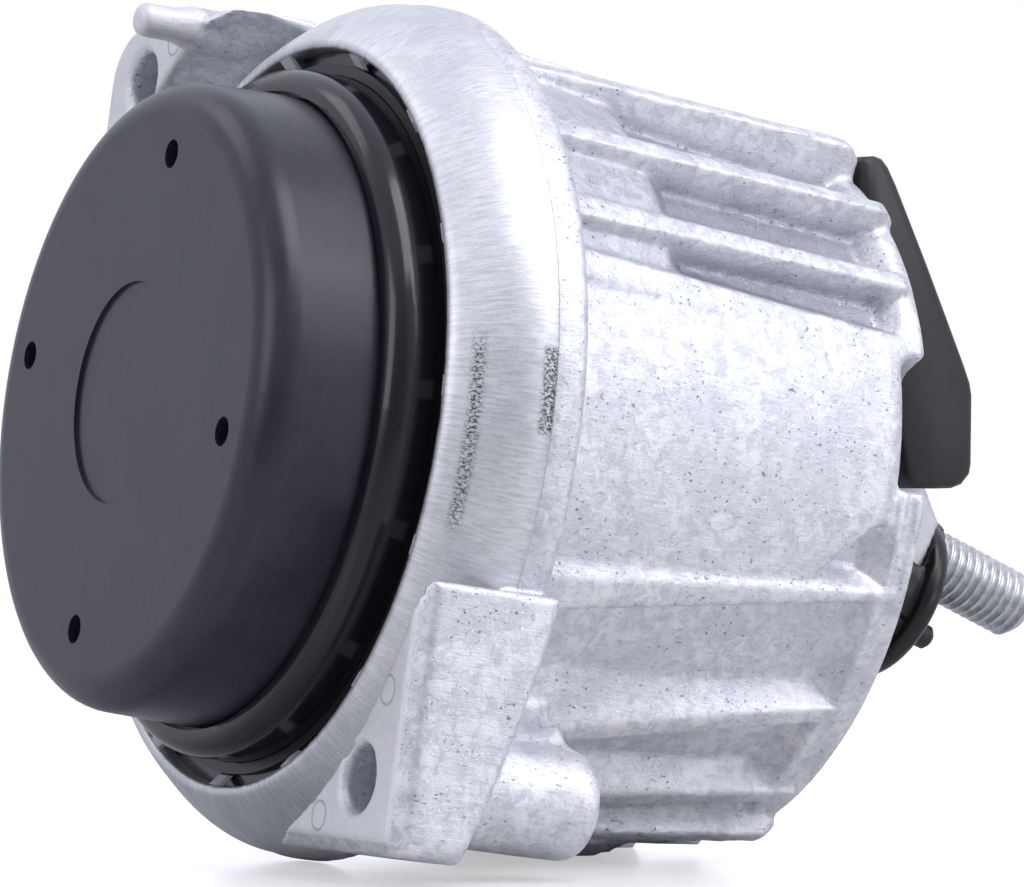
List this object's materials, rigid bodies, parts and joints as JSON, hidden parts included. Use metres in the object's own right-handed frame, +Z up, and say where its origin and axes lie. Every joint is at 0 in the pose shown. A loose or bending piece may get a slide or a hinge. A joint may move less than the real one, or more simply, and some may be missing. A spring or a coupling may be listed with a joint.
{
  "type": "engine mount",
  "caption": "Hydraulic engine mount lying on its side: ribbed die-cast housing with bolt ears, black base cap, rubber rebound stop and a tilted threaded stud.",
  "frame": {"origin": "where the mount's axis crosses the seating plane of the bolt ears", "axes": "+Y along the mount's axis from the cap to the stud, +Z up as the mount lies on its side, +X towards the lower ear"},
  "size_m": [0.1216, 0.149, 0.12],
  "materials": {
    "cast_aluminium": "as-cast, lightly blasted",
    "cap_plastic": "satin black",
    "ring_plastic": "satin black",
    "spring_steel": "phosphated",
    "black_rubber": "matt",
    "shield_rubber": "slightly glossy",
    "core_aluminium": "cast",
    "zinc_steel": "zinc plated",
    "pin_steel": "black",
    "inner_rubber": "moulded",
    "plain_steel": "plain",
    "plate_aluminium": "die-cast"
  },
  "bodies": {
    "root": {"housing": "cast_aluminium", "base_cap": "cap_plastic", "clamp_ring": "ring_plastic", "retaining_ring": "spring_steel", "rebound_stop": "black_rubber", "splash_shield": "shield_rubber", "core": "core_aluminium", "stud": "zinc_steel", "locating_pin": "pin_steel", "diaphragm": "inner_rubber", "diaphragm_ring": "plain_steel", "lower_track_plate": "plate_aluminium", "decoupler": "inner_rubber", "upper_track_plate": "plate_aluminium", "plate_seal": "inner_rubber", "chamber_seal": "inner_rubber", "outer_ring": "plain_steel", "main_spring": "inner_rubber", "bell_plate": "plain_steel"}
  },
  "joints": []
}
